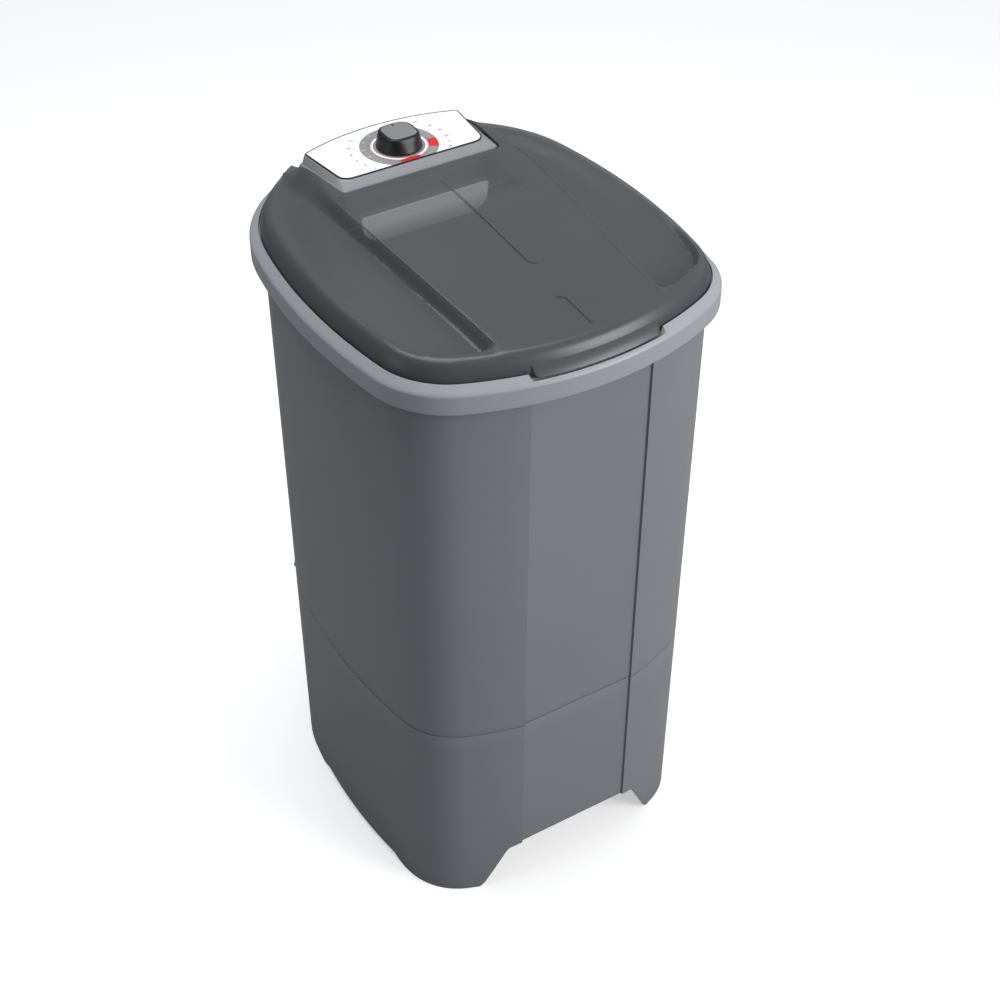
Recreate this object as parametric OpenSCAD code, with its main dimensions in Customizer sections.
// Semi-automatic washing machine with one wash tub and a turntable agitator.
// The origin is the centre of the footprint on the floor, +Z is up and the front faces -Y.

/* [Outline] */
// Width over the collar
rim_w = 497.2; // [480:0.2:520]
// Depth over the collar
rim_d = 594.8; // [580:0.2:620]
// Plan radius of the front corners
corner_r = 112.4; // [105:0.1:120]
// Plan radius of the rear corners
rear_corner_r = 213.3; // [205:0.1:225]
// Direction at which the front arc meets the front corner, in degrees
front_turn = 23.34; // [22.5:0.01:24.5]
// Direction at which the front corner meets the side, in degrees
side_turn = 80.08; // [79:0.01:81]
// Direction at which the side meets the rear corner, in degrees
rear_turn = 100.52; // [99:0.01:101]
// Direction at which the rear corner meets the back, in degrees
back_turn = 166.76; // [166:0.01:168]

/* [Body] */
// Wall of the tub and of the base
wall = 3; // [2.5:0.1:3.5]
// Distance from the edge of the collar in to the top of the tub wall
wall_inset = 15.8; // [15:0.1:17]
// How far the wall comes in from the top of the tub down to the floor
draft = 7; // [4:0.5:9]
// Height of the top edge of the tub
tub_top_z = 868.7; // [860:0.1:868.7]
// Height of the joint between the tub and the base
seam_z = 310.3; // [300:0.1:320]
// Visible gap at that joint
seam_gap = 1; // [0.6:0.1:1.5]
// Half width of the recessed front panel
panel_half_w = 83.5; // [75:0.5:90]
// Depth of the recessed front panel
panel_step = 3; // [2:0.5:4]
// Rise from the joint to the upper face of the tub floor
floor_rise = 25.7; // [24:0.1:30]
// Thickness of the tub floor
floor_t = 4; // [3:0.5:5]

/* [Base] */
// Height of the arch between the feet, at its middle
arch_h = 75; // [65:1:80]
// Half width of the arch at the floor
arch_half_w = 143; // [138:1:148]
// Half width of the flat top of the arch
arch_top_half_w = 102; // [95:1:108]
// Height of the skirt at the sides over the floor
skirt_lift = 10; // [6:1:14]
// Thickness of the flanges under the feet
foot_t = 4; // [3:0.5:6]
// Half width of the access opening in the back
access_half_w = 90; // [80:1:92]
// Lower edge of the access opening
access_low_z = 95; // [90:1:105]
// Height of the access opening
access_h = 138; // [120:1:140]

/* [Collar] */
// Height of the lower edge of the collar
collar_low_z = 845.4; // [840:0.2:850]
// Height of the outer crease of the collar
collar_edge_z = 870; // [868:0.5:872]
// Height of the collar at the gap round the lid
collar_top_z = 880; // [878:0.5:882]
// Width of the sloped top of the collar
collar_slope_w = 12; // [11:0.2:12.6]
// Wall of the collar's outer skirt
collar_wall = 2.5; // [2:0.1:3]
// Depth from the top of the collar to its ledge
ledge_drop = 8; // [7:0.5:9]
// Half width of the notch for the lid's tab
notch_half_w = 90; // [88:0.5:94]
// Front face of the deck at the rear
deck_y = 110.3; // [105:0.1:111]

/* [Lid] */
// Distance from the edge of the collar in to the edge of the lid
lid_inset = 14.2; // [13.8:0.1:15]
// Wall of the lid
lid_wall = 3; // [2.5:0.1:3]
// Height of the lower edge of the lid
lid_low_z = 873; // [872.6:0.1:874]
// Rise from the lower edge to the crest
crest_rise = 29.3; // [27:0.1:31]
// Width of the slope that leads up to the crest
crest_run = 16; // [14:0.5:18]
// Rise of the middle panel over the crest
panel_rise = 24.2; // [20:0.1:25]
// Half width of the middle panel at the console
lid_panel_half_w = 141; // [140:0.5:144]
// Half width over the two pockets
pocket_half_w = 220; // [216:0.5:222]
// Height of the pocket floor over the lower edge of the lid
pocket_floor_rise = 15.5; // [14:0.5:20]
// Half width of the tab at the front
tab_half_w = 86.5; // [80:0.5:87]
// Distance of the hinge axis behind the centre
hinge_y = 241; // [239:0.5:242]
// Height of the hinge axis over the ledge
hinge_rise = 14; // [13.5:0.1:15]
// Radius of the hinge pins
pin_r = 3; // [2:0.1:3.5]

/* [Console] */
// Height of the console over the ledge, at its front
console_h = 53; // [50:0.5:53.5]
// Half width of the console at its front
console_front_half_w = 113; // [110:0.5:115]
// Half width of the console at its rear
console_rear_half_w = 122; // [120:0.5:124]
// Front face of the console
console_y = 115; // [115:0.5:118]
// Wall of the console
console_wall = 3; // [2.5:0.1:3.5]
// Gap between the console and the lid
console_gap = 3.5; // [3:0.1:4]
// Height of the raised field over the top of the console
field_rise = 4.3; // [3:0.1:5]
// Thickness of the label plate
label_t = 1.4; // [1:0.1:2]
// Distance of the knob behind the centre
knob_y = 174; // [170:0.5:178]
// Radius of the knob at its foot
knob_r = 30; // [27:0.5:33]
// Radius of the knob at its top
knob_top_r = 24.5; // [22:0.5:26]
// Height of the knob
knob_h = 20; // [18:0.5:24]

/* [Drive] */
// Radius of the agitator disc
agitator_r = 145; // [135:1:148]
// Height of the agitator
agitator_h = 110; // [100:1:125]
// Radius of the agitator shaft
shaft_r = 7.5; // [6:0.1:8]
// Pitch radius of the large pulley
pulley_r = 96; // [90:1:100]
// Pitch radius of the motor pulley
motor_pulley_r = 24; // [22:0.5:26]
// Distance from the agitator shaft to the motor shaft
drive_spacing = 150; // [145:1:155]
// Outer radius of the motor
motor_r = 65; // [60:0.5:68]
// Height of the motor
motor_h = 100; // [95:1:105]
// Radius of the motor shaft
motor_shaft_r = 6; // [5:0.1:6.5]
// Width of the belt
belt_w = 8; // [7:0.5:9]
// Thickness of the belt
belt_t = 5; // [4:0.5:5.5]

/* [Drain] */
// Distance of the drain to the left of the centre
drain_x = 120; // [116:1:124]
// Distance of the drain behind the centre
drain_y = 130; // [126:1:134]
// Height of the hose outlet over the floor
outlet_z = 130; // [120:1:150]
// Inner radius of the drain hose
hose_r = 14.3; // [13:0.1:15]
// Wall of the drain hose
hose_wall = 3; // [2:0.5:3.5]
// Radius of the bend in the drain hose
hose_bend_r = 50; // [45:1:55]

/* [Hidden] */
$fn = 48;

// Clearances: standing pieces, running shafts, and the overrun of cuts
fit = 0.3;
run = 0.05;
over = 1;

// Plan outline: five tangent arcs a side, worked out from the width, the depth and the corners
turns = [0, front_turn, side_turn, rear_turn, back_turn, 180];
a0 = (rim_w/2 - corner_r*(sin(side_turn) - sin(front_turn)))/sin(front_turn);
a1 = (1 - sin(side_turn))/sin(front_turn);
b0 = (rim_w/2 + rear_corner_r*(sin(back_turn) - sin(rear_turn)))/sin(back_turn);
b1 = (sin(rear_turn) - 1)/sin(back_turn);
side_r = (rim_d - a0*(1 - cos(front_turn)) - corner_r*(cos(front_turn) - cos(side_turn))
  - rear_corner_r*(cos(rear_turn) - cos(back_turn)) - b0*(1 + cos(back_turn)))
  /(cos(side_turn) - cos(rear_turn) - a1*(1 - cos(front_turn)) + b1*(1 + cos(back_turn)));
radii = [a0 - a1*side_r, corner_r, side_r, rear_corner_r, b0 + b1*side_r];
function out(a) = [sin(a), -cos(a)];
function centre(i) = i == 0 ? [0, radii[0] - rim_d/2] : centre(i - 1) + (radii[i - 1] - radii[i])*out(turns[i]);
centres = [for (i = [0:4]) centre(i)];
function edge(i, a, inset) = centres[i] + (radii[i] - inset)*out(a);
function arc_of(a) = a < turns[1] ? 0 : a < turns[2] ? 1 : a < turns[3] ? 2 : a < turns[4] ? 3 : 4;

// One ring of the outline, set in by inset, with the flat front panel of half width w set in by step
step_w = 1;
steps = [0, 8, 4, 8, 4];
function half(inset, step, w) = let(r = radii[0] - inset, p = asin(w/(r - step)), q = asin((w + step_w)/r))
  concat([for (k = [0:3]) step > 0 ? [w*k/3, edge(0, p, inset + step).y] : edge(0, p*k/3, inset)],
    [for (k = [0:3]) edge(0, q + (turns[1] - q)*k/3, inset)],
    [for (i = [1:4]) each [for (k = [1:steps[i]]) edge(i, turns[i] + (turns[i + 1] - turns[i])*k/steps[i], inset)]]);
function ring(inset, z, step = 0, w = panel_half_w) = let(h = half(inset, step, w), n = len(h))
  concat([for (p = h) [p.x, p.y, z]], [for (j = [n - 2:-1:1]) [-h[j].x, h[j].y, z]]);
function wall_in(z) = wall_inset + draft*(1 - z/tub_top_z);
function wall_ring(z, e) = ring(wall_in(z) + e, z, panel_step, panel_half_w + max(e, 0));
function sides(n, k, l) = [for (j = [0:n - 1]) each
  [[k*n + j, l*n + j, l*n + (j + 1)%n], [k*n + j, l*n + (j + 1)%n, k*n + (j + 1)%n]]];
// The y of the outline at the rear for a given x
function rear_y(x, inset) = let(i = abs(x) < (radii[4] - inset)*sin(back_turn) ? 4 : 3, r = radii[i] - inset)
  centres[i].y + r*cos(asin((abs(x) - centres[i].x)/r));
// The y of the outline at the front for a given x on the front arc
function front_y(x, inset) = centres[0].y - (radii[0] - inset)*cos(asin(x/(radii[0] - inset)));

// Solid through rings from bottom to top
module stack(rings) {
  n = len(rings[0]);
  m = len(rings);
  polyhedron(points = [for (r = rings) each r], faces = concat([[for (j = [0:n - 1]) j]],
    [for (k = [0:m - 2]) each sides(n, k, k + 1)], [[for (j = [n - 1:-1:0]) (m - 1)*n + j]]), convexity = 8);
}
// Hoop through rings: up the outside, down the inside
module hoop(rings) {
  n = len(rings[0]);
  m = len(rings);
  polyhedron(points = [for (r = rings) each r], faces = [for (k = [0:m - 1]) each sides(n, k, (k + 1)%m)],
    convexity = 8);
}
module wall_form(z0, z1, e) { stack([wall_ring(z0, e), wall_ring(z1, e)]); }
// A box from its smallest to its largest corner
module box(a, b) { translate(a) cube(b - a); }
// A box and its mirror image in X
module box_pair(a, b) { for (s = [0, 1]) mirror([s, 0, 0]) box(a, b); }
// A bar along Y or X, from its middle outline
module prism_y(points, y0, y1) { translate([0, y1, 0]) rotate([90, 0, 0]) linear_extrude(y1 - y0) polygon(points); }
module prism_x(points, x0, x1) { translate([x0, 0, 0]) rotate([90, 0, 90]) linear_extrude(x1 - x0) polygon(points); }
module rod_y(r, y0, y1) { translate([0, y0, 0]) rotate([-90, 0, 0]) cylinder(r = r, h = y1 - y0); }
module rod_x(r, x0, x1) { translate([x0, 0, 0]) rotate([0, 90, 0]) cylinder(r = r, h = x1 - x0); }
module rod_z(r, z0, z1) { translate([0, 0, z0]) cylinder(r = r, h = z1 - z0); }
module pipe_z(r, bore, z0, z1) { rotate_extrude() polygon([[bore, z0], [r, z0], [r, z1], [bore, z1]]); }
// Places children on the wall in direction a, with -Y pointing out of it
module on_wall(a, z, e) {
  p = edge(arc_of(a), a, wall_in(z) + e);
  translate([p.x, p.y, z]) rotate([0, 0, a]) children();
}
// A screw along +Z with its head below
module screw(r, len, head_r, head_h) {
  rod_z(r, 0, len);
  rod_z(head_r, -head_h, 0);
}

// Heights that follow from the sizes above
floor_top = seam_z + floor_rise;
floor_low = floor_top - floor_t;
ledge_z = collar_top_z - ledge_drop;
web_low_z = tub_top_z + fit;
inner_in = wall_inset + wall + fit;
lip_h = 12;

// Tub: hub for the bearing housing, bosses for the motor, holes in the floor
hub_r = 62;
hub_h = 10;
hub_low = floor_low - hub_h;
housing_r = 20;
bolt_ring_r = 42;
bolt_r = 3;
bolt_bite = 8;
mount_x = 85;
mount_dy = 55;
boss_r = 12;
boss_h = 14;
boss_low = floor_low - boss_h;
stud_r = 2.5;
stud_bite = 10;
drain_hole_r = 18;
module mount_places() {
  for (x = [-mount_x, mount_x], y = [drive_spacing - mount_dy, drive_spacing + mount_dy]) translate([x, y, 0]) children();
}
module bolt_places() { for (a = [45:90:315]) rotate([0, 0, a]) translate([bolt_ring_r, 0, 0]) children(); }
base_screw_turns = [118, 150];
base_screw_r = 2;
module base_screw_places() {
  for (s = [0, 1], a = base_screw_turns) mirror([s, 0, 0]) on_wall(a, seam_z + lip_h/2, 0) children();
}
module tub() color([0.46, 0.47, 0.5]) difference() {
  union() {
    hoop([wall_ring(seam_z, 0), wall_ring(tub_top_z, 0), wall_ring(tub_top_z, wall), wall_ring(seam_z, wall)]);
    translate([0, 0, floor_low]) linear_extrude(floor_t) polygon([for (p = wall_ring(floor_low, wall/2)) [p.x, p.y]]);
    rod_z(hub_r, hub_low, floor_low + floor_t/2);
    mount_places() rod_z(boss_r, boss_low, floor_low + floor_t/2);
  }
  rod_z(housing_r + fit, hub_low - over, floor_top + over);
  bolt_places() rod_z(bolt_r, hub_low - over, hub_low + bolt_bite);
  mount_places() rod_z(stud_r, boss_low - over, boss_low + stud_bite);
  translate([-drain_x, drain_y, 0]) rod_z(drain_hole_r, floor_low - over, floor_top + over);
  base_screw_places() rod_y(base_screw_r + run, -over, wall + over);
}

// Base: arches, side cuts, feet, access opening, outlets
arch_shoulder = 5;
arch_flank_x = 6;
arch_flank_z = 8;
toe_in = 7;
toe_h = 8;
side_front_y = 138;
side_rear_y = 55;
side_slant = 20;
foot_w = 22;
port_x = 120;
port_r = 20;
port_y = 261;
port_depth = 33;
gland_bore_r = 7;
outlet_r = 16;
loom_r = 3;
loom_hole_z = 262;
cover_lap = 10;
cover_screw_x = 55;
cover_screw_r = 1.6;
cover_turn = 180 - asin(cover_screw_x/(radii[4] - wall_inset - draft));
access_top_z = access_low_z + access_h;
base_top = seam_z - seam_gap;
arch = [[-arch_half_w, -over], [-arch_half_w, 0], [toe_in - arch_half_w, toe_h],
  [-arch_top_half_w - arch_flank_x, arch_h - arch_shoulder - arch_flank_z], [-arch_top_half_w, arch_h - arch_shoulder],
  [-panel_half_w, arch_h]];
module cover_screw_places() {
  for (s = [0, 1], z = [access_low_z - cover_lap/2, access_top_z + cover_lap/2]) mirror([s, 0, 0])
    on_wall(cover_turn, z, 0) children();
}
module base_skirt() color([0.45, 0.46, 0.49]) difference() {
  union() {
    hoop([wall_ring(0, 0), wall_ring(base_top, 0), wall_ring(base_top, wall + fit), wall_ring(seam_z + lip_h, wall + fit),
      wall_ring(seam_z + lip_h, 2*wall + fit), wall_ring(seam_z - lip_h, 2*wall + fit),
      wall_ring(seam_z - lip_h*3/2, wall), wall_ring(foot_t, wall), wall_ring(foot_t, foot_w), wall_ring(0, foot_w)]);
    intersection() {
      for (s = [-1, 1]) translate([s*port_x, 0, outlet_z]) rod_y(port_r, port_y - port_depth, port_y);
      wall_form(outlet_z - port_r - over, outlet_z + port_r + over, -port_depth);
    }
  }
  prism_y(concat(arch, [for (i = [5:-1:0]) [-arch[i].x, arch[i].y]]), -rim_d, rim_d);
  prism_x([[-side_front_y - side_slant, -over], [-side_front_y - side_slant, 0], [-side_front_y, skirt_lift],
    [side_rear_y, skirt_lift], [side_rear_y + side_slant, 0], [side_rear_y + side_slant, -over]], -rim_w, rim_w);
  box([-access_half_w, 0, access_low_z], [access_half_w, rim_d, access_top_z]);
  translate([-port_x, 0, outlet_z]) rod_y(outlet_r + fit, rim_d/4, rim_d);
  translate([port_x, 0, outlet_z]) rod_y(gland_bore_r + fit, rim_d/4, rim_d);
  translate([0, 0, loom_hole_z]) rod_y(loom_r + over, rim_d/4, rim_d);
  base_screw_places() rod_y(base_screw_r + run, wall, rim_w/4);
  cover_screw_places() rod_y(cover_screw_r + run, -over, wall*2);
}

// Collar: skirt, slope, lip, ledge, inner wall, deck, fascia and drawer rails in one piece
crease_r = 2;
lip_round = 1;
inner_low_z = 840;
notch_in = 4.5;
notch_floor_z = 870;
wire_half_w = 5;
deck_t = ledge_z - web_low_z;
fascia_low_z = 845;
tray_half_w = 68;
tray_gap = 0.4;
rail_w = 3;
rail_shelf = 6;
tray_low_z = 849.5;
tray_h = 17.5;
plate_t = 4;
console_screw_x = 95;
console_screw_ys = [130, 225];
console_screw_r = 2;
slope_low = collar_wall*1.3;
function inner_ring(e, z) = ring(inner_in + e, z, panel_step, panel_half_w + wall + fit + e);
function slope(i) = collar_edge_z + (collar_top_z - collar_edge_z)*i/collar_slope_w;
module console_screw_places() { for (s = [-1, 1], y = console_screw_ys) translate([s*console_screw_x, y, 0]) children(); }
module rim_collar() color([0.62, 0.64, 0.68]) difference() {
  lip_in = collar_slope_w - collar_wall;
  union() {
    hoop([ring(0, collar_low_z), ring(0, collar_edge_z - crease_r), ring(crease_r*0.3, slope(0)),
      ring(crease_r, slope(crease_r)), ring(collar_slope_w - lip_round, slope(collar_slope_w - lip_round)),
      ring(collar_slope_w, collar_top_z - lip_round), ring(collar_slope_w, ledge_z), inner_ring(wall, ledge_z),
      inner_ring(wall, inner_low_z), inner_ring(0, inner_low_z), inner_ring(0, web_low_z),
      ring(lip_in, web_low_z), ring(lip_in, slope(lip_in) - slope_low), ring(collar_wall, slope(collar_wall) - slope_low),
      ring(collar_wall, collar_low_z)]);
    intersection() {
      hoop([ring(collar_wall/2, notch_floor_z - collar_wall), ring(collar_wall/2, notch_floor_z),
        ring(lip_in + collar_wall/2, notch_floor_z), ring(lip_in + collar_wall/2, notch_floor_z - collar_wall)]);
      box([-notch_half_w - collar_wall, -rim_d, 0], [notch_half_w + collar_wall, 0, collar_top_z]);
    }
    intersection() {
      stack([ring(inner_in + wall/2, web_low_z), ring(inner_in + wall/2, ledge_z)]);
      box([-rim_w, deck_y, 0], [rim_w, rim_d, rim_d*2]);
    }
    intersection() {
      stack([ring(inner_in + wall/2, fascia_low_z), ring(inner_in + wall/2, ledge_z)]);
      box([-rim_w, deck_y, fascia_low_z], [rim_w, deck_y + collar_wall, ledge_z]);
    }
    for (s = [0, 1]) mirror([s, 0, 0]) {
      box([tray_half_w + tray_gap, deck_y, tray_low_z - fit - rail_w],
        [tray_half_w + tray_gap + rail_w, console_y + deck_y, web_low_z + deck_t/2]);
      box([tray_half_w - rail_shelf, deck_y, tray_low_z - fit - rail_w],
        [tray_half_w + tray_gap + rail_w, console_y + deck_y, tray_low_z - fit]);
    }
  }
  box([-tray_half_w - tray_gap, 0, tray_low_z - fit], [tray_half_w + tray_gap, deck_y + collar_wall + over, web_low_z]);
  intersection() {
    hoop([ring(notch_in, notch_floor_z), ring(notch_in, collar_top_z + over), ring(collar_slope_w + over/4, collar_top_z + over),
      ring(collar_slope_w + over/4, notch_floor_z)]);
    box([-notch_half_w, -rim_d, 0], [notch_half_w, 0, rim_d*2]);
  }
  intersection() {
    hoop([ring(notch_in, web_low_z - over), ring(notch_in, collar_top_z + over), ring(inner_in + wall, collar_top_z + over),
      ring(inner_in + wall, web_low_z - over)]);
    box([-wire_half_w, 0, 0], [wire_half_w, rim_d, rim_d*2]);
  }
  console_screw_places() rod_z(console_screw_r + run, web_low_z - over, ledge_z + over);
}

// Console: a shell whose front is narrower than its rear and whose back slopes down to the collar
console_turn_y = 217.5;
console_rear_top_y = 243;
console_fall = 5;
console_mid_y = 190;
console_back_z = 887;
console_knee_z = 895;
console_knee_in = 20;
boss_wall = 4;
screw_boss_r = 6;
screw_boss_h = 14;
label_y = 137;
label_half_w = 101;
label_rear_half_w = 111;
label_rear_y = 218.7;
label_mid_y = 240;
label_corner = 8;
field_wall = 3;
hole_r = 4;
console_low_z = ledge_z + fit;
console_top_z = ledge_z + console_h;
hinge_z = ledge_z + hinge_rise;
field_z = console_top_z + field_rise;
label_z = field_z + run;
function plan_w(y) = min(console_rear_half_w, console_front_half_w
  + (console_rear_half_w - console_front_half_w)*(y - console_y)/(console_turn_y - console_y));
function sag_y(x, w, y0, y1) = let(s = y1 - y0, r = (w*w + s*s)/(2*s)) y1 - r + sqrt(r*r - x*x);
function top_z(y) = console_top_z - console_fall*(y - console_y)/(console_turn_y - console_y);
function rear_points(level, o) = [for (k = [0:8]) let(x = (console_rear_half_w - o)*(1 - k/4))
  level == 3 ? [x, sag_y(x, console_rear_half_w, console_turn_y, console_rear_top_y) - o]
    : [x, rear_y(x, lid_inset + (level == 2 ? console_knee_in : 0)) - o]];
function console_ring(level, o) = let(
  p = concat([[console_front_half_w - o, console_y + o], [plan_w(console_mid_y) - o, console_mid_y]], rear_points(level, o),
    [[o - plan_w(console_mid_y), console_mid_y], [o - console_front_half_w, console_y + o]]),
  zs = [console_low_z - (o > 0 ? over : 0), console_back_z - o/2, console_knee_z - o])
  [for (q = p) [q.x, q.y, level == 3 ? top_z(q.y) - o : zs[level]]];
module console_form(o) { stack([for (l = [0:3]) console_ring(l, o)]); }
function label_plan(o) = concat([[label_half_w - label_corner, label_y + o], [label_half_w - label_corner*0.3 - o*0.7,
  label_y + label_corner*0.3 + o*0.7], [label_half_w + label_corner*0.05 - o, label_y + label_corner]],
  [for (k = [0:8]) let(x = (label_rear_half_w - o)*(1 - k/4)) [x, sag_y(x, label_rear_half_w, label_rear_y, label_mid_y) - o]],
  [[o - label_half_w - label_corner*0.05, label_y + label_corner], [o*0.7 + label_corner*0.3 - label_half_w,
  label_y + label_corner*0.3 + o*0.7], [label_corner - label_half_w, label_y + o]]);
module label_prism(o, z0, z1) { translate([0, 0, z0]) linear_extrude(z1 - z0) polygon(label_plan(o)); }
timer_screw_x = 36;
timer_screw_r = 1.5;
tongue_half_w = 9;
tongue_in = 3;
tongue_t = 2;
module console_housing() color([0.66, 0.67, 0.7]) difference() {
  union() {
    difference() {
      console_form(0);
      console_form(console_wall);
    }
    difference() {
      label_prism(0, top_z(label_mid_y) - console_wall, field_z);
      label_prism(field_wall, console_back_z, field_z - field_wall);
    }
    intersection() {
      console_form(0);
      union() {
        for (s = [0, 1]) mirror([s, 0, 0]) translate([0, hinge_y, hinge_z])
          rod_x(pin_r + boss_wall, console_rear_half_w - 3*console_wall, console_rear_half_w);
        console_screw_places() rod_z(screw_boss_r, console_low_z, console_low_z + screw_boss_h);
        box_pair([console_screw_x, console_screw_ys[0] - console_wall/2, console_low_z],
          [console_rear_half_w, console_screw_ys[0] + console_wall/2, console_low_z + screw_boss_h]);
        box_pair([console_screw_x, console_screw_ys[1] - console_wall/2, console_low_z],
          [console_rear_half_w, console_screw_ys[1] + console_wall/2, console_low_z + screw_boss_h]);
      }
    }
    intersection() {
      stack([ring(tongue_in, collar_top_z + fit), ring(tongue_in, collar_top_z + fit + tongue_t)]);
      box([-tongue_half_w, rear_y(0, lid_inset) - console_wall, collar_top_z],
        [tongue_half_w, rim_d, collar_top_z + 2*tongue_t]);
    }
  }
  label_prism(field_wall, console_back_z, field_z - field_wall);
  box([-wire_half_w, rim_d/3, 0], [wire_half_w, rim_d, collar_top_z + fit]);
  translate([0, hinge_y, hinge_z]) rod_x(pin_r + run, -rim_w, rim_w);
  translate([0, knob_y, 0]) rod_z(hole_r, console_back_z, field_z + over);
  console_screw_places() rod_z(console_screw_r, console_low_z - over, console_low_z + screw_boss_h - console_wall);
  for (s = [-1, 1]) translate([s*timer_screw_x, knob_y, 0]) {
    rod_z(timer_screw_r + fit, console_back_z, field_z + over);
    rod_z(timer_screw_r*2 + fit, field_z - timer_screw_r, field_z + over);
  }
}
module console_label() color([0.95, 0.95, 0.95]) difference() {
  label_prism(fit, label_z, label_z + label_t);
  translate([0, knob_y, 0]) rod_z(hole_r, label_z - over, label_z + label_t + over);
}

// Knob with its cap, and the timer below it
knob_gap = 0.6;
knob_low = label_z + label_t + knob_gap;
knob_top = knob_low + knob_h;
knob_wall = 2.5;
knob_hub_r = 6;
cap_half_w = 20;
cap_t = 1.2;
cap_round = 10;
spindle_r = 3;
timer_r = 28;
timer_h = 36;
timer_top = field_z - field_wall - fit;
ear_half_w = 42;
ear_w = 16;
ear_t = 4;
module knob() color([0.08, 0.08, 0.09]) translate([0, knob_y, 0]) difference() {
  translate([0, 0, knob_low]) cylinder(r1 = knob_r, r2 = knob_top_r, h = knob_h, $fn = 72);
  difference() {
    translate([0, 0, knob_low - over]) cylinder(r1 = knob_r - knob_wall, r2 = knob_top_r - knob_wall,
      h = knob_h - knob_wall + over, $fn = 72);
    rod_z(knob_hub_r, knob_low - over, knob_top);
  }
  rod_z(spindle_r + run, knob_low - over, knob_top - knob_wall);
}
module knob_cap() color([0.72, 0.73, 0.75]) translate([0, knob_y, knob_top + run]) linear_extrude(cap_t) {
  square([2*cap_half_w, 2*(cap_half_w - cap_round)], center = true);
  square([2*(cap_half_w - cap_round), 2*cap_half_w], center = true);
  for (x = [-1, 1], y = [-1, 1]) translate([x, y]*(cap_half_w - cap_round)) circle(r = cap_round);
}
module timer_body() color([0.85, 0.84, 0.8]) translate([0, knob_y, 0]) difference() {
  union() {
    rod_z(timer_r, timer_top - timer_h, timer_top);
    box([-ear_half_w, -ear_w/2, timer_top - ear_t], [ear_half_w, ear_w/2, timer_top]);
  }
  rod_z(spindle_r + run, timer_top - timer_h/2, timer_top + over);
  for (s = [-1, 1]) translate([s*timer_screw_x, 0, 0]) rod_z(timer_screw_r + run, timer_top - ear_t - over, timer_top + over);
}
module timer_shaft() color([0.6, 0.6, 0.62]) translate([0, knob_y, 0])
  rod_z(spindle_r, timer_top - timer_h/2 + fit, knob_top - knob_wall - fit);
module timer_screws() color([0.7, 0.7, 0.7]) for (s = [-1, 1]) translate([s*timer_screw_x, knob_y, 0]) {
  rod_z(timer_screw_r, timer_top - ear_t*2, field_z - timer_screw_r/2);
  rod_z(timer_screw_r*2, field_z - timer_screw_r, field_z - run);
}
module console_screws() color([0.7, 0.7, 0.7]) console_screw_places() {
  rod_z(console_screw_r - run, web_low_z - fit, console_low_z + screw_boss_h - console_wall*2);
  rod_z(console_screw_r*2, web_low_z - fit - console_screw_r, web_low_z - fit);
}

// Lid: domed edge, middle panel that rises to the console, two pockets beside it
dome_in_shares = [0, 0, 0.15, 0.41, 0.7, 1];
dome_up_shares = [0, 0.25, 0.51, 0.78, 0.955, 1];
panel_w_shares = [0.745, 0.752, 0.799, 0.904, 1, 1.03];
panel_y_shares = [-0.89, -0.81, -0.397, 0.05, 0.504, 0.88];
rise_y_shares = [-0.89, -0.672, -0.43, -0.087, 0.168, 0.37, 0.672, 0.773, 0.857];
rise_shares = [0, 0.31, 0.53, 0.78, 0.92, 0.98, 1, 0.45, 0];
pocket_x_shares = [0.6255, 0.8436, 0.9027, 0.959, 1, 0.964, 0.864, 0.727];
pocket_y_shares = [-0.783, -0.716, -0.642, -0.461, -0.087, 0.235, 0.504, 0.622];
floor_y_shares = [-0.85, -0.1, 0.235, 0.65];
floor_up_shares = [0, 0.1, 0.8, 1.05];
lid_clear_r = 13.4;
ear_r = 10;
ear_thick = 4;
rib_x = 6;
rib_w = 3;
rib_h = 1.5;
rib_ys = [-258, -197, -128, 78];
tab_out = 6.8;
tab_root_z = 887.2;
tab_t = 2;
tab_slope = 3.2;
half_d = rim_d/2;
crest_z = lid_low_z + crest_rise;
pocket_z = lid_low_z + pocket_floor_rise;
cut_y = console_y - console_gap;
function near_w(y) = lid_panel_half_w*lookup(y/half_d, [for (i = [0:5]) [panel_y_shares[i], panel_w_shares[i]]]);
module dome(o) {
  stack([for (i = [0:5]) ring(lid_inset + o + crest_run*dome_in_shares[i],
    lid_low_z + crest_rise*dome_up_shares[i] - (i == 0 ? (o > 0 ? over : 0) : o*dome_up_shares[i]))]);
}
module panel(o) intersection() {
  stack([ring(lid_inset + crest_run/2 + o, crest_z - crest_rise/2), ring(lid_inset + crest_run/2 + o, crest_z + panel_rise*2)]);
  translate([0, 0, crest_z - crest_rise/2]) linear_extrude(crest_rise + panel_rise) polygon(concat(
    [for (i = [0:5]) [lid_panel_half_w*panel_w_shares[i] - o, half_d*panel_y_shares[i]]],
    [for (i = [5:-1:0]) [o - lid_panel_half_w*panel_w_shares[i], half_d*panel_y_shares[i]]]));
  prism_x(concat([[half_d*rise_y_shares[0], lid_low_z - over]],
    [for (i = [0:8]) [half_d*rise_y_shares[i], crest_z + panel_rise*rise_shares[i] - o]],
    [[half_d*rise_y_shares[8], lid_low_z - over]]), -rim_w, rim_w);
}
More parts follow.
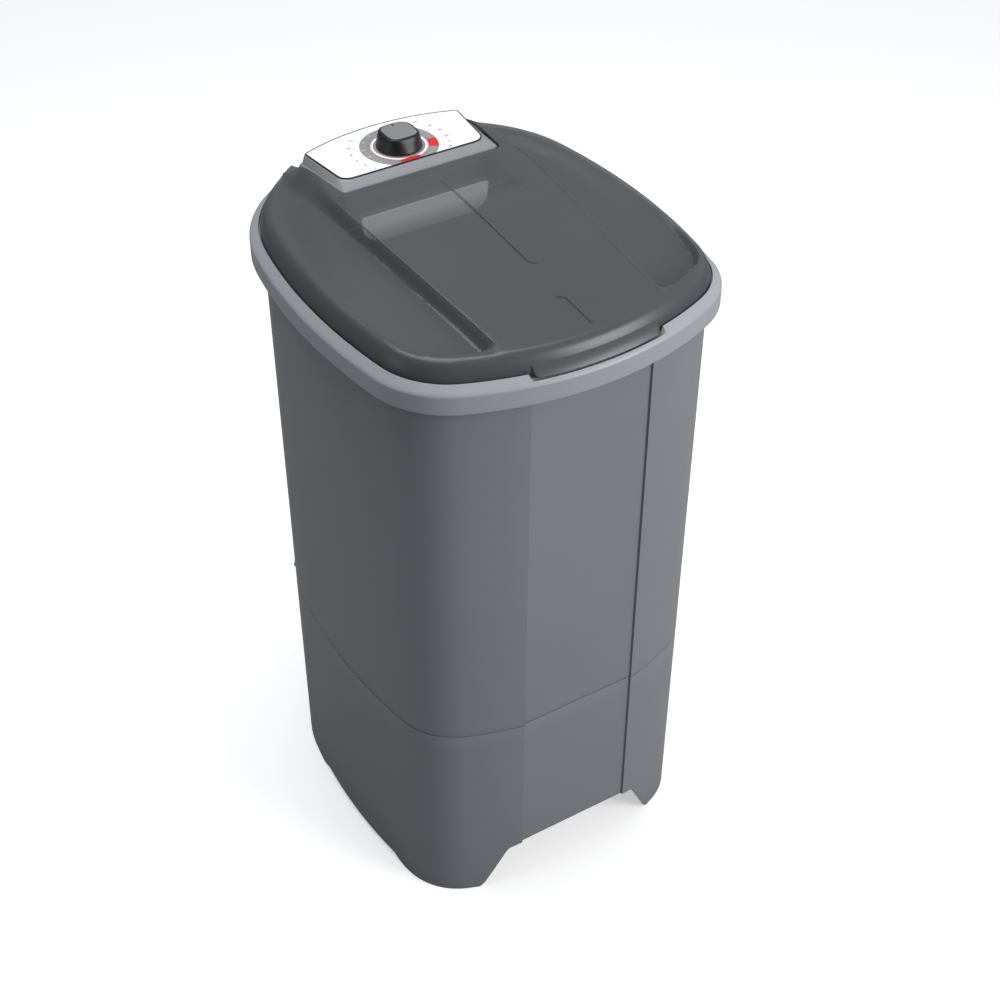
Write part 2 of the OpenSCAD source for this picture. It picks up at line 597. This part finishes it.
module pocket(g) for (s = [0, 1]) mirror([s, 0, 0]) intersection() {
  translate([0, 0, lid_low_z]) linear_extrude(crest_rise + panel_rise + over) polygon(concat(
    [for (i = [0:7]) [pocket_half_w*pocket_x_shares[i] + g, half_d*pocket_y_shares[i] + (i == 0 ? -g : i == 7 ? g : 0)]],
    [[near_w(half_d*pocket_y_shares[7]) - g, half_d*pocket_y_shares[7] + g]],
    [for (i = [4:-1:2]) [lid_panel_half_w*panel_w_shares[i] - g, half_d*panel_y_shares[i]]],
    [[near_w(half_d*pocket_y_shares[0]) - g, half_d*pocket_y_shares[0] - g]]));
  prism_x(concat([for (i = [0:3]) [half_d*floor_y_shares[i],
    pocket_z + (crest_z - pocket_z)*floor_up_shares[i] - g]], [[half_d, crest_z + panel_rise*2], [-half_d, crest_z + panel_rise*2],
    [-half_d, pocket_z - g]]), 0, rim_w);
}
module lid_form(o) {
  difference() {
    union() {
      dome(o);
      panel(o);
    }
    pocket(o);
  }
}
module cutout(g) translate([0, 0, lid_low_z - 2*over]) linear_extrude(rim_d) polygon([
  [console_front_half_w + g, cut_y], [plan_w(console_turn_y) + g, console_turn_y], [plan_w(console_turn_y) + g, rim_d],
  [-plan_w(console_turn_y) - g, rim_d], [-plan_w(console_turn_y) - g, console_turn_y], [-console_front_half_w - g, cut_y]]);
module lid() color([0.3, 0.3, 0.32, 0.7]) difference() {
  union() {
    difference() {
      lid_form(0);
      lid_form(lid_wall);
    }
    intersection() {
      lid_form(0);
      difference() {
        cutout(console_gap + lid_wall);
        box([-rim_w, -rim_d, 0], [rim_w, rim_d, pocket_z]);
        box([-console_front_half_w, -rim_d, 0], [console_front_half_w, cut_y + over, rim_d*2]);
      }
    }
    intersection() {
      hoop([ring(tab_out, lid_low_z), ring(tab_out, lid_low_z + tab_t), ring(lid_inset + over/2, tab_root_z),
        ring(lid_inset + tab_t, tab_root_z - tab_slope)]);
      box([-tab_half_w, -rim_d, 0], [tab_half_w, 0, rim_d*2]);
    }
    for (i = [0, 2]) intersection() {
      panel(-rib_h);
      box([rib_x - rib_w/2, rib_ys[i], crest_z - lid_wall/2], [rib_x + rib_w/2, rib_ys[i + 1], crest_z + panel_rise*2]);
    }
    for (s = [0, 1]) mirror([s, 0, 0]) {
      translate([0, hinge_y, hinge_z]) rod_x(ear_r, console_rear_half_w + console_gap, console_rear_half_w + console_gap + ear_thick);
      intersection() {
        lid_form(0);
        box([console_rear_half_w + console_gap, hinge_y - ear_r, hinge_z],
          [console_rear_half_w + console_gap + ear_thick, hinge_y + ear_r, rim_d*2]);
      }
    }
  }
  cutout(console_gap);
  translate([0, hinge_y, hinge_z]) rod_x(pin_r + run, -rim_w, rim_w);
  difference() {
    box([-rim_w, hinge_y, 0], [rim_w, rim_d, rim_d*2]);
    translate([0, hinge_y, hinge_z]) rod_x(lid_clear_r, -rim_w, rim_w);
  }
}
pin_in = 10;
module hinge_pins() color([0.7, 0.7, 0.72]) for (s = [0, 1]) mirror([s, 0, 0]) translate([0, hinge_y, hinge_z])
  rod_x(pin_r, console_rear_half_w - pin_in, console_rear_half_w + console_gap + ear_thick + over/2);
bumper_half_w = 9;
bumper_depth = 7;
bumper_ys = [-190, 60];
module lid_bumpers() color([0.1, 0.1, 0.1]) for (s = [0, 1], y = bumper_ys) mirror([s, 0, 0]) intersection() {
  stack([ring(lid_inset + over, ledge_z), ring(lid_inset + over, lid_low_z - fit)]);
  difference() {
    box([0, y - bumper_half_w, ledge_z], [rim_w, y + bumper_half_w, lid_low_z]);
    stack([ring(lid_inset + bumper_depth, 0), ring(lid_inset + bumper_depth, rim_d*2)]);
  }
}

// Soap drawer: a front plate that narrows downwards, and a tray on the rails under the deck
plate_half_w = 92;
plate_low_half_w = 70;
plate_top_z = 885;
plate_low_z = 847;
plate_corner = 15;
tray_len = 112;
tray_wall = 2;
plate_y = deck_y - fit - plate_t;
plate_side = [[plate_low_half_w, plate_low_z], [plate_low_half_w + plate_corner/2, plate_low_z + plate_corner/8],
  [plate_half_w - plate_corner*0.6, plate_low_z + plate_corner/2], [plate_half_w - plate_corner*0.4, plate_low_z + plate_corner],
  [plate_half_w, plate_top_z]];
module dispenser_drawer() color([0.5, 0.5, 0.53]) {
  prism_y(concat(plate_side, [for (i = [4:-1:0]) [-plate_side[i].x, plate_side[i].y]]), plate_y, plate_y + plate_t);
  difference() {
    box([-tray_half_w, plate_y + plate_t/2, tray_low_z], [tray_half_w, deck_y + tray_len, tray_low_z + tray_h]);
    box([tray_wall - tray_half_w, plate_y + plate_t + tray_wall, tray_low_z + tray_wall],
      [-tray_wall/2, deck_y + tray_len - tray_wall, tray_low_z + tray_h + over]);
    box([tray_wall/2, plate_y + plate_t + tray_wall, tray_low_z + tray_wall],
      [tray_half_w - tray_wall, deck_y + tray_len - tray_wall, tray_low_z + tray_h + over]);
  }
}

// Agitator with its bolt and cap, on the shaft that the bearing housing carries
agitator_clear = 4;
disc_t = 8;
cone_r = 60;
cone_top_r = 22;
fin_w = 9;
fin_len = 72;
fin_h = 62;
rise_clear = 2.5;
housing_up = 9;
housing_down = 127;
housing_bore_r = 11;
flange_r = 55;
flange_t = 6;
rib_t = 5;
rib_len = 34;
bush_len = 22;
bush_in = 12;
seal_r = 14;
seal_t = 7;
agitator_low = floor_top + agitator_clear;
agitator_top = agitator_low + agitator_h;
housing_top = floor_top + housing_up;
housing_low = floor_low - housing_down;
seat_z = housing_top + rise_clear;
cap_r = 10;
cap_depth = 14;
cap_plate_t = 4;
bolt_shank_r = 4;
bolt_head_r = 8;
bolt_head_h = 6;
bolt_len = 28;
top_wall = 6;
shaft_top = agitator_top - cap_depth - top_wall;
belt_drop = 19;
belt_z = housing_low - belt_drop;
nut_t = 7;
nut_r = 11;
pulley_hub_r = 16;
pulley_hub_up = 16;
pulley_hub_down = 9;
shaft_low = belt_z - pulley_hub_down - nut_t - 2*nut_r/5;
module agitator() color([0.25, 0.4, 0.65]) difference() {
  union() {
    rotate_extrude($fn = 96) polygon([[0, agitator_low], [agitator_r - disc_t/2, agitator_low], [agitator_r, agitator_low + disc_t/2],
      [agitator_r - disc_t/4, agitator_low + disc_t], [cone_r, agitator_low + disc_t*3/2], [cone_r*3/5, agitator_low + agitator_h/3],
      [cone_top_r + disc_t/4, agitator_top - agitator_h/3], [cone_top_r, agitator_top - disc_t/2], [cone_top_r - disc_t/2, agitator_top],
      [0, agitator_top]]);
    for (a = [0:90:270]) rotate([0, 0, a + 45]) prism_y([[cone_top_r/2, agitator_low + disc_t/2],
      [cone_r + fin_len, agitator_low + disc_t/2], [cone_r + fin_len, agitator_low + disc_t*2],
      [cone_r, agitator_low + fin_h/2], [cone_r*3/5, agitator_low + fin_h], [cone_top_r/2, agitator_top - disc_t]], -fin_w/2, fin_w/2);
  }
  rod_z(housing_r + 2*rise_clear, agitator_low - over, seat_z);
  rod_z(shaft_r + run, seat_z - over, shaft_top);
  rod_z(bolt_shank_r + run, shaft_top - over, agitator_top);
  rod_z(cap_r, agitator_top - cap_depth, agitator_top + over);
}
module agitator_bolt() color([0.7, 0.7, 0.72]) {
  rod_z(bolt_shank_r, agitator_top - cap_depth + run - bolt_len, agitator_top - cap_depth + run);
  rod_z(bolt_head_r, agitator_top - cap_depth + run, agitator_top - cap_depth + run + bolt_head_h);
}
module agitator_cap() color([0.85, 0.86, 0.88])
  rod_z(cap_r - fit, agitator_top - cap_plate_t, agitator_top);
module drive_shaft() color([0.65, 0.65, 0.68]) difference() {
  rod_z(shaft_r, shaft_low, shaft_top - fit);
  rod_z(bolt_shank_r + run, agitator_top - cap_depth - bolt_len - over, shaft_top + over);
}
module bearing_housing() color([0.55, 0.56, 0.58]) difference() {
  union() {
    rod_z(housing_r, housing_low, housing_top);
    rod_z(flange_r, hub_low - fit/3 - flange_t, hub_low - fit/3);
    for (a = [0:90:270]) rotate([0, 0, a]) prism_y([[housing_r/2, hub_low - flange_t], [housing_r + rib_len*2/3, hub_low - flange_t],
      [housing_r + rib_t/2, hub_low - flange_t - rib_len*3/2], [housing_r/2, hub_low - flange_t - rib_len*3/2]], -rib_t/2, rib_t/2);
  }
  rod_z(housing_bore_r, housing_low - over, housing_top + over);
  rod_z(seal_r, housing_top - seal_t, housing_top + over);
  bolt_places() rod_z(bolt_r + run, hub_low - flange_t - over - fit, hub_low + over);
}
module housing_screws() color([0.7, 0.7, 0.72]) translate([0, 0, hub_low - flange_t - fit]) bolt_places()
  screw(bolt_r - run, flange_t + bolt_bite - 2*run, bolt_r*5/3, bolt_r);
module bush(z) pipe_z(housing_bore_r - run, shaft_r + run, z, z + bush_len);
module upper_bush() color([0.72, 0.6, 0.35]) bush(housing_top - seal_t - bush_in - bush_len);
module lower_bush() color([0.72, 0.6, 0.35]) bush(housing_low + bush_in);
module shaft_seal() color([0.1, 0.1, 0.1])
  pipe_z(seal_r - run, shaft_r + run, housing_top - seal_t + run, housing_top);

// Belt drive
belt_gap = 0.3;
rim_over = 2.5;
flange_w = 4;
web_t = 5;
pulley_rim_t = 6;
spoke_hole_r = 22;
spoke_ring_r = 55;
grub_r = 2;
motor_hub_r = 12;
motor_hub_h = 12;
groove_r = belt_t/2 + belt_gap;
module groove(r) rotate_extrude($fn = 96) polygon([[r - groove_r, belt_z - belt_w/2 - belt_gap],
  [r + groove_r + rim_over + over, belt_z - belt_w/2 - belt_gap - over], [r + groove_r + rim_over + over,
  belt_z + belt_w/2 + belt_gap + over], [r - groove_r, belt_z + belt_w/2 + belt_gap]]);
module driven_pulley() color([0.2, 0.2, 0.22]) difference() {
  union() {
    rod_z(pulley_hub_r, belt_z - pulley_hub_down, belt_z + pulley_hub_up);
    rod_z(pulley_r, belt_z - web_t/2, belt_z + web_t/2);
    difference() {
      translate([0, 0, belt_z - belt_w/2 - flange_w]) cylinder(r = pulley_r + groove_r + rim_over, h = belt_w + 2*flange_w, $fn = 96);
      rod_z(pulley_r - groove_r - pulley_rim_t, belt_z - belt_w, belt_z + belt_w);
    }
  }
  groove(pulley_r);
  rod_z(shaft_r + run, belt_z - belt_w*2, belt_z + pulley_hub_up + over);
  for (a = [0:72:288]) rotate([0, 0, a]) translate([spoke_ring_r, 0, 0]) rod_z(spoke_hole_r, belt_z - web_t, belt_z + web_t);
}
module pulley_nut() color([0.7, 0.7, 0.72]) difference() {
  translate([0, 0, belt_z - pulley_hub_down - nut_t - run]) cylinder(r = nut_r, h = nut_t, $fn = 6);
  rod_z(shaft_r + run, shaft_low, belt_z);
}
pulley_low = belt_z - belt_w/2 - flange_w;
motor_hub_low = pulley_low - motor_hub_h;
module motor_pulley() color([0.75, 0.75, 0.78]) translate([0, drive_spacing, 0]) difference() {
  union() {
    rod_z(motor_pulley_r + groove_r + rim_over, pulley_low, belt_z + belt_w/2 + flange_w);
    rod_z(motor_hub_r, motor_hub_low, belt_z);
  }
  groove(motor_pulley_r);
  rod_z(motor_shaft_r + run, motor_hub_low - over, belt_z + belt_w*2);
  translate([0, 0, motor_hub_low + motor_hub_h/2]) rod_y(grub_r, 0, motor_hub_r + over);
}
module pulley_screw() color([0.3, 0.3, 0.3]) translate([0, drive_spacing, motor_hub_low + motor_hub_h/2])
  rod_y(grub_r - run, motor_shaft_r + fit, motor_hub_r - fit);
module belt_plan(o) {
  c = (pulley_r - motor_pulley_r)/drive_spacing;
  s = sqrt(1 - c*c);
  circle(r = pulley_r + o, $fn = 96);
  translate([0, drive_spacing]) circle(r = motor_pulley_r + o, $fn = 96);
  polygon([(pulley_r + o)*[s, c], [0, drive_spacing] + (motor_pulley_r + o)*[s, c],
    [0, drive_spacing] + (motor_pulley_r + o)*[-s, c], (pulley_r + o)*[-s, c]]);
}
module v_belt() color([0.06, 0.06, 0.06]) translate([0, 0, belt_z - belt_w/2]) linear_extrude(belt_w) difference() {
  belt_plan(belt_t/2);
  belt_plan(-belt_t/2);
}

// Motor with its mount
rubber_h = 10;
rubber_r = 10;
plate_over = 10;
motor_plate_t = 3;
motor_lid_t = 4;
motor_wall = 2.5;
cap_h = 17;
bearing_r = 16;
bearing_h = 10;
bearing_wall = 4;
motor_screw_ring = 50;
motor_screw_r = 2.5;
motor_screw_len = 11;
rotor_r = 33.5;
rotor_gap = 0.5;
coil_in = 4;
coil_out = 4.5;
coil_h = 8.5;
core_h = 52;
shaft_below = 3;
motor_top = boss_low - rubber_h - motor_plate_t;
motor_low = motor_top - motor_h;
core_z = (motor_top + motor_low)/2 - core_h/2 + fit*10;
vent_r = 7;
module at_motor() { translate([0, drive_spacing, 0]) children(); }
module motor_screw_places() { at_motor() for (a = [45:90:315]) rotate([0, 0, a]) translate([motor_screw_ring, 0, 0]) children(); }
module motor_mount() color([0.6, 0.6, 0.6]) difference() {
  box([-mount_x - plate_over, drive_spacing - mount_dy - plate_over, motor_top + run],
    [mount_x + plate_over, drive_spacing + mount_dy + plate_over, motor_top + motor_plate_t]);
  mount_places() rod_z(stud_r + fit, motor_top - over, boss_low);
  motor_screw_places() rod_z(motor_screw_r + run, motor_top - over, boss_low);
  at_motor() rod_z(bearing_r + bearing_wall*2, motor_top - over, boss_low);
}
module rubber_mounts() color([0.1, 0.1, 0.1]) mount_places()
  pipe_z(rubber_r, stud_r + fit, motor_top + motor_plate_t + run, boss_low - run);
module mount_screws() color([0.7, 0.7, 0.72]) translate([0, 0, motor_top]) mount_places()
  screw(stud_r - run, motor_plate_t + rubber_h + stud_bite - fit, stud_r*2, stud_r);
module motor_screws() color([0.7, 0.7, 0.72]) translate([0, 0, motor_top + motor_plate_t + run]) motor_screw_places()
  mirror([0, 0, 1]) screw(motor_screw_r - run, motor_screw_len, motor_screw_r*2, motor_screw_r);
module motor_housing() color([0.35, 0.36, 0.38]) difference() {
  union() {
    at_motor() pipe_z(motor_r, motor_r - motor_wall, motor_low + cap_h, motor_top - run);
    at_motor() rod_z(motor_r - motor_wall/2, motor_top - motor_lid_t, motor_top - run);
    at_motor() rod_z(bearing_r + bearing_wall, motor_top - motor_lid_t - bearing_h, motor_top - motor_lid_t/2);
  }
  at_motor() rod_z(bearing_r + run, motor_top - motor_lid_t - bearing_h - over, motor_top - motor_lid_t);
  motor_screw_places() rod_z(motor_screw_r + run, motor_low, motor_top + over);
  at_motor() for (a = [0:60:300]) rotate([0, 0, a]) translate([0, 0, motor_top - motor_h/6]) rod_y(vent_r, motor_r - 2*motor_wall, motor_r + over);
}
module motor_end_cap() color([0.5, 0.5, 0.52]) at_motor() difference() {
  union() {
    rod_z(motor_r, motor_low, motor_low + motor_lid_t);
    pipe_z(motor_r, motor_r - motor_wall, motor_low, motor_low + cap_h - run);
    rod_z(bearing_r + bearing_wall, motor_low, motor_low + motor_lid_t/2 + bearing_h + bearing_wall);
  }
  rod_z(bearing_r + run, motor_low + motor_lid_t, motor_low + cap_h + over);
  rod_z(motor_shaft_r + over*2, motor_low - over, motor_low + cap_h);
}
module motor_bearings() color([0.75, 0.75, 0.78]) at_motor() {
  pipe_z(bearing_r, motor_shaft_r + run, motor_low + motor_lid_t + run, motor_low + motor_lid_t + bearing_h);
  pipe_z(bearing_r, motor_shaft_r + run, motor_top - motor_lid_t - bearing_h, motor_top - motor_lid_t - run);
}
module stator() color([0.45, 0.45, 0.47]) at_motor() pipe_z(motor_r - motor_wall - fit, rotor_r + rotor_gap, core_z, core_z + core_h);
module stator_coils() color([0.7, 0.4, 0.2]) at_motor() for (z = [core_z - coil_h - fit, core_z + core_h + fit])
  pipe_z(motor_r - motor_wall - coil_out, rotor_r + coil_in, z, z + coil_h);
module rotor() color([0.55, 0.55, 0.57]) at_motor() pipe_z(rotor_r, motor_shaft_r + run, core_z, core_z + core_h);
module motor_shaft() color([0.7, 0.7, 0.72]) at_motor() rod_z(motor_shaft_r, motor_hub_low - shaft_below, motor_top - motor_lid_t - fit);

// Run capacitor in its clip under the tub floor
capacitor_x = 120;
capacitor_y = 40;
capacitor_r = 20;
capacitor_h = 80;
capacitor_gap = 6;
clip_t = 2;
clip_h = 14;
clip_arm_w = 16;
capacitor_top = floor_low - capacitor_gap;
module capacitor() color([0.85, 0.85, 0.83]) translate([capacitor_x, capacitor_y, 0]) {
  rod_z(capacitor_r, capacitor_top - capacitor_h, capacitor_top);
  for (s = [-1, 1]) box([s*capacitor_r/3 - clip_t/2, -clip_t, capacitor_top - capacitor_h - clip_h/2],
    [s*capacitor_r/3 + clip_t/2, clip_t, capacitor_top - capacitor_h + clip_t]);
}
module capacitor_clip() color([0.6, 0.6, 0.6]) translate([capacitor_x, capacitor_y, 0]) {
  pipe_z(capacitor_r + fit + clip_t, capacitor_r + fit, capacitor_top - capacitor_h/2, capacitor_top - capacitor_h/2 + clip_h);
  box([capacitor_r + fit + clip_t/2, -clip_arm_w/2, capacitor_top - capacitor_h/2], [capacitor_r + fit + clip_t*3/2, clip_arm_w/2, floor_low - fit]);
  box([capacitor_r + fit + clip_t/2, -clip_arm_w/2, floor_low - fit - clip_t], [capacitor_r + clip_arm_w, clip_arm_w/2, floor_low - fit]);
}

// Drain: grille screwed into the spigot below the floor, hose with two clamps, outlet in the back
grille_r = 26;
grille_t = 3;
grille_slot_w = 4;
grille_tube = 22;
spigot_r = 14;
spigot_bore_r = 11.5;
socket_wall = 4;
socket_h = 30;
spigot_len = 24;
clamp_w = 8;
clamp_t = 1.2;
clamp_in = 8;
outlet_flange_r = 19;
outlet_flange_t = 3;
outlet_inner = 46;
outlet_outer_r = 15;
outlet_len = 20;
socket_low = floor_low - fit - socket_h;
hose_top = socket_low - over;
module at_drain() { translate([-drain_x, drain_y, 0]) children(); }
module drain_grille() color([0.6, 0.6, 0.62]) at_drain() difference() {
  union() {
    rod_z(grille_r, floor_top, floor_top + grille_t);
    rod_z(drain_hole_r - fit, floor_top - grille_tube, floor_top + grille_t/2);
  }
  rod_z(drain_hole_r - fit - socket_wall*3/4, floor_top - grille_tube - over, floor_top - grille_t/2);
  for (i = [-1:1]) box([i*grille_slot_w*2 - grille_slot_w/2, -drain_hole_r*0.6, floor_top - grille_t],
    [i*grille_slot_w*2 + grille_slot_w/2, drain_hole_r*0.6, floor_top + grille_t + over]);
}
module drain_spigot() color([0.2, 0.2, 0.22]) at_drain() difference() {
  union() {
    rod_z(drain_hole_r + socket_wall, socket_low, floor_low - fit);
    rod_z(grille_r, floor_low - fit - grille_t, floor_low - fit);
    rod_z(spigot_r, socket_low - spigot_len, socket_low + over);
  }
  rod_z(drain_hole_r, socket_low + socket_wall, floor_low + over);
  rod_z(spigot_bore_r, socket_low - spigot_len - over, floor_low);
}
module drain_hose() color([0.25, 0.25, 0.27]) translate([-drain_x, 0, 0]) {
  translate([0, drain_y, 0]) pipe_z(hose_r + hose_wall, hose_r, outlet_z + hose_bend_r, hose_top);
  translate([0, drain_y + hose_bend_r, outlet_z + hose_bend_r]) rotate([90, 0, -90]) rotate([0, 0, -90])
    rotate_extrude(angle = 90) hose_ring();
  translate([0, drain_y + hose_bend_r, outlet_z]) difference() {
    rod_y(hose_r + hose_wall, 0, port_y - port_depth - over*2 - drain_y - hose_bend_r);
    rod_y(hose_r, -over, port_y);
  }
}
module hose_ring() translate([hose_bend_r, 0]) difference() {
  circle(r = hose_r + hose_wall);
  circle(r = hose_r);
}
module hose_clamps() color([0.7, 0.7, 0.72]) translate([-drain_x, 0, 0]) {
  translate([0, drain_y, 0]) pipe_z(hose_r + hose_wall + fit + clamp_t, hose_r + hose_wall + fit,
    hose_top - clamp_in - clamp_w, hose_top - clamp_in);
  translate([0, port_y - port_depth - clamp_in - clamp_w, outlet_z]) difference() {
    rod_y(hose_r + hose_wall + fit + clamp_t, 0, clamp_w);
    rod_y(hose_r + hose_wall + fit, -over, clamp_w + over);
  }
}
module drain_outlet() color([0.2, 0.2, 0.22]) translate([-drain_x, port_y, outlet_z]) difference() {
  union() {
    rod_y(outlet_flange_r, fit, fit + outlet_flange_t);
    rod_y(outlet_outer_r, outlet_flange_t/2, fit + outlet_flange_t + outlet_len);
    rod_y(spigot_r, -outlet_inner - port_depth/3, outlet_flange_t);
    rod_y(outlet_r, -port_depth, outlet_flange_t/2 + fit);
  }
  rod_y(spigot_bore_r, -rim_d, outlet_len*2);
}

// Lint filter: a frame clipped to the right wall of the tub, with a flat net
lint_y = centres[2].y;
lint_half_w = 60;
lint_z = 560;
lint_h = 200;
lint_t = 12;
lint_frame_w = 9;
lint_gap = 2.6;
net_bar = 2;
net_pitch = 14;
clip_len = 20;
lint_x = rim_w/2 - wall_in(lint_z) - wall - lint_gap - 3*fit;
module lint_frame() color([0.9, 0.9, 0.92]) {
  difference() {
    box([lint_x - lint_t, lint_y - lint_half_w, lint_z], [lint_x, lint_y + lint_half_w, lint_z + lint_h]);
    box([lint_x - lint_t - over, lint_y - lint_half_w + lint_frame_w, lint_z + lint_frame_w],
      [lint_x + over, lint_y + lint_half_w - lint_frame_w, lint_z + lint_h - lint_frame_w]);
  }
  for (z = [lint_z, lint_z + lint_h - lint_frame_w])
    box([lint_x - over, lint_y - clip_len/2, z], [lint_x + lint_gap, lint_y + clip_len/2, z + lint_frame_w]);
}
net_half_w = lint_half_w - lint_frame_w - fit;
net_half_h = lint_h/2 - lint_frame_w - fit;
module lint_net() color([0.75, 0.85, 0.95]) translate([lint_x - lint_t/2, lint_y, lint_z + lint_h/2]) {
  for (y = [-net_pitch*3:net_pitch:net_pitch*3]) box([-net_bar/2, y - net_bar/2, -net_half_h], [net_bar/2, y + net_bar/2, net_half_h]);
  for (z = [-net_pitch*6:net_pitch:net_pitch*6]) box([-net_bar/2, -net_half_w, z - net_bar/2], [net_bar/2, net_half_w, z + net_bar/2]);
  difference() {
    box([-net_bar/2, -net_half_w, -net_half_h], [net_bar/2, net_half_w, net_half_h]);
    box([-net_bar, net_bar*2 - net_half_w, net_bar*2 - net_half_h], [net_bar, net_half_w - net_bar*2, net_half_h - net_bar*2]);
  }
}

// Wire channel on the back, the loom inside it, the terminal block and the gland
channel_half_w = 16;
channel_depth = 11;
channel_wall = 2;
channel_low_z = 248;
channel_gap = 2;
loom_bend_z = 877;
loom_start_y = 215;
loom_in_y = 250;
loom_step_z = 282;
block_x = 60;
block_y = 235;
block_half_w = 20;
block_half_d = 8;
block_h = 18;
branch_r = 2.5;
branch_z = 318;
gland_flange_r = 12;
gland_flange_t = 3;
gland_len = 10;
gland_hole_r = 4;
gland_nut_r = 11;
gland_nut_t = 6;
loom_top_y = rear_y(0, wall_in(tub_top_z)) + channel_depth/2 - over/4;
loom_low_y = rear_y(0, wall_in(loom_hole_z)) + channel_depth/2 - over/4;
route = [[0, loom_start_y, loom_bend_z + lip_h], [0, loom_in_y, loom_bend_z], [0, loom_top_y, loom_bend_z],
  [0, loom_low_y, loom_hole_z], [0, loom_in_y, loom_hole_z], [0, loom_in_y, loom_step_z],
  [block_x, block_y, loom_step_z], [block_x, block_y, floor_low - fit - block_h - run]];
module channel_form(e) { wall_form(channel_low_z - e, collar_low_z - channel_gap + e/2, -channel_depth - e); }
module wire_channel() color([0.45, 0.46, 0.49]) difference() {
  intersection() {
    wall_form(channel_low_z, collar_low_z - channel_gap, -channel_depth);
    box([-channel_half_w, 0, 0], [channel_half_w, rim_d, rim_d*2]);
  }
  wall_form(channel_low_z - over, collar_low_z, -fit);
  intersection() {
    wall_form(channel_low_z + channel_wall, collar_low_z, channel_wall - channel_depth);
    box([channel_wall - channel_half_w, 0, 0], [channel_half_w - channel_wall, rim_d, rim_d*2]);
  }
}
module bar(a, b, r) {
  d = b - a;
  translate(a) rotate([0, acos(d.z/norm(d)), atan2(d.y, d.x)]) cylinder(r = r, h = norm(d), $fn = 24);
}
module wiring_loom() color([0.15, 0.15, 0.16]) {
  for (i = [0:6]) bar(route[i], route[i + 1], loom_r);
  for (i = [1:6]) translate(route[i]) sphere(r = loom_r + run*3, $fn = 24);
}
module terminal_block() color([0.9, 0.88, 0.8]) translate([block_x, block_y, 0]) difference() {
  box([-block_half_w, -block_half_d, floor_low - fit - block_h], [block_half_w, block_half_d, floor_low - fit]);
  for (i = [-1.5:1.5]) translate([i*block_half_w/2, -block_half_d, floor_low - fit - block_h/2]) rod_y(channel_wall, -over, block_half_d/2);
}
module cord_gland() color([0.1, 0.1, 0.1]) translate([port_x, port_y, outlet_z]) difference() {
  union() {
    rod_y(gland_flange_r, fit, fit + gland_flange_t);
    rod_y(gland_bore_r, -port_depth - gland_nut_t - over, fit + gland_flange_t + gland_len);
    rod_y(gland_nut_r, -port_depth - gland_nut_t - over, -port_depth - fit);
  }
  rod_y(gland_hole_r, -rim_d, rim_d);
}

// Cover over the access opening, with its screws, and the screws that join base and tub
cover_t = 2.5;
head_t = 2;
module rear_cover() color([0.42, 0.43, 0.46]) difference() {
  intersection() {
    wall_form(access_low_z - cover_lap, access_top_z + cover_lap, -fit - cover_t);
    box([-access_half_w - cover_lap, 0, 0], [access_half_w + cover_lap, rim_d, rim_d]);
  }
  wall_form(0, seam_z, -fit);
  cover_screw_places() rod_y(cover_screw_r + run, -cover_t*3, wall);
}
module cover_screws() color([0.7, 0.7, 0.72]) cover_screw_places() {
  rod_y(cover_screw_r, -fit*2 - cover_t - head_t/2, wall*1.5);
  rod_y(cover_screw_r*2, -fit*2 - cover_t - head_t, -fit*2 - cover_t);
}
module base_screws() color([0.7, 0.7, 0.72]) base_screw_places() {
  rod_y(base_screw_r, -head_t/2, wall*2);
  rod_y(base_screw_r*2, -fit - head_t, -fit);
}

tub();
base_skirt();
rim_collar();
console_housing();
console_label();
knob();
knob_cap();
timer_body();
timer_shaft();
timer_screws();
console_screws();
lid();
hinge_pins();
lid_bumpers();
dispenser_drawer();
agitator();
agitator_bolt();
agitator_cap();
drive_shaft();
bearing_housing();
housing_screws();
upper_bush();
lower_bush();
shaft_seal();
driven_pulley();
pulley_nut();
motor_pulley();
pulley_screw();
v_belt();
motor_housing();
motor_end_cap();
stator();
stator_coils();
rotor();
motor_bearings();
motor_shaft();
motor_mount();
rubber_mounts();
mount_screws();
motor_screws();
capacitor();
capacitor_clip();
drain_grille();
drain_spigot();
drain_hose();
hose_clamps();
drain_outlet();
lint_frame();
lint_net();
wire_channel();
wiring_loom();
terminal_block();
cord_gland();
rear_cover();
cover_screws();
base_screws();
